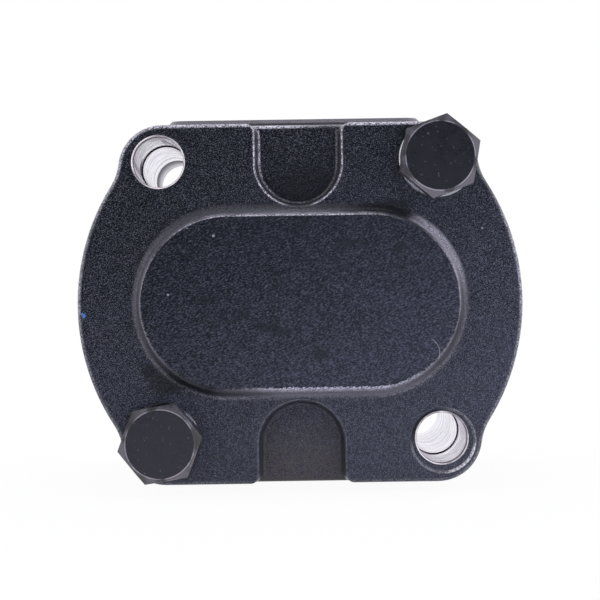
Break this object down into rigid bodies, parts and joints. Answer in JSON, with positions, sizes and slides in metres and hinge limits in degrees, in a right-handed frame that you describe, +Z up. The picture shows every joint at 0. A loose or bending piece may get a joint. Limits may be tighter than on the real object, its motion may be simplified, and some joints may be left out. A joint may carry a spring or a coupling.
{
  "type": "hydraulic pump",
  "caption": "External gear pump: black cast body with a raised obround end cover, splined drive shaft, round pilot, and ported pads on top and below.",
  "frame": {"origin": "drive shaft's axis in the plane of the mounting face", "axes": "+Y along the drive shaft, out of the mounting face; +Z up, out of the inlet pad; +X towards the driven gear"},
  "size_m": [0.1274, 0.1944, 0.1102],
  "materials": {
    "black_casting": "black paint over a fine-grained cast surface",
    "ground_steel": "ground and hardened",
    "bearing_metal": "smooth bearing lining",
    "bronze": "machined bronze",
    "black_rubber": "moulded, matt",
    "backup_plastic": "off-white, matt",
    "seal_steel": "pressed sheet",
    "dark_steel": "black oxide, lightly oiled",
    "washer_steel": "dark, rubbed bright at the edge"
  },
  "bodies": {
    "pump_body": {"rear_cover": "black_casting", "gear_housing": "black_casting", "front_cover": "black_casting", "front_drive_bush": "bearing_metal", "front_driven_bush": "bearing_metal", "rear_drive_bush": "bearing_metal", "rear_driven_bush": "bearing_metal", "front_thrust_plate": "bronze", "rear_thrust_plate": "bronze", "front_plate_seal": "black_rubber", "rear_plate_seal": "black_rubber", "front_backup_strip": "backup_plastic", "rear_backup_strip": "backup_plastic", "front_body_seal": "black_rubber", "rear_body_seal": "black_rubber", "seal_case": "seal_steel", "seal_lip": "black_rubber", "seal_spring": "seal_steel", "seal_retaining_ring": "dark_steel", "front_dowels": "ground_steel", "rear_dowels": "ground_steel", "housing_bolts": "dark_steel", "bolt_washers": "washer_steel"},
    "drive_gear": {"drive_gear_shaft": "ground_steel"},
    "driven_gear": {"driven_gear_shaft": "ground_steel"}
  },
  "joints": [
    {"name": "drive_spin", "type": "hinge", "parent": "pump_body", "child": "drive_gear", "pos_m": [0, 0, 0], "axis": [0, 1, 0], "continuous": true},
    {"name": "driven_spin", "type": "hinge", "parent": "pump_body", "child": "driven_gear", "pos_m": [0.041, 0, 0], "axis": [0, 1, 0], "continuous": true}
  ],
  "couplings": [
    {"joint": "driven_spin", "follows": "drive_spin", "ratio": -1}
  ]
}
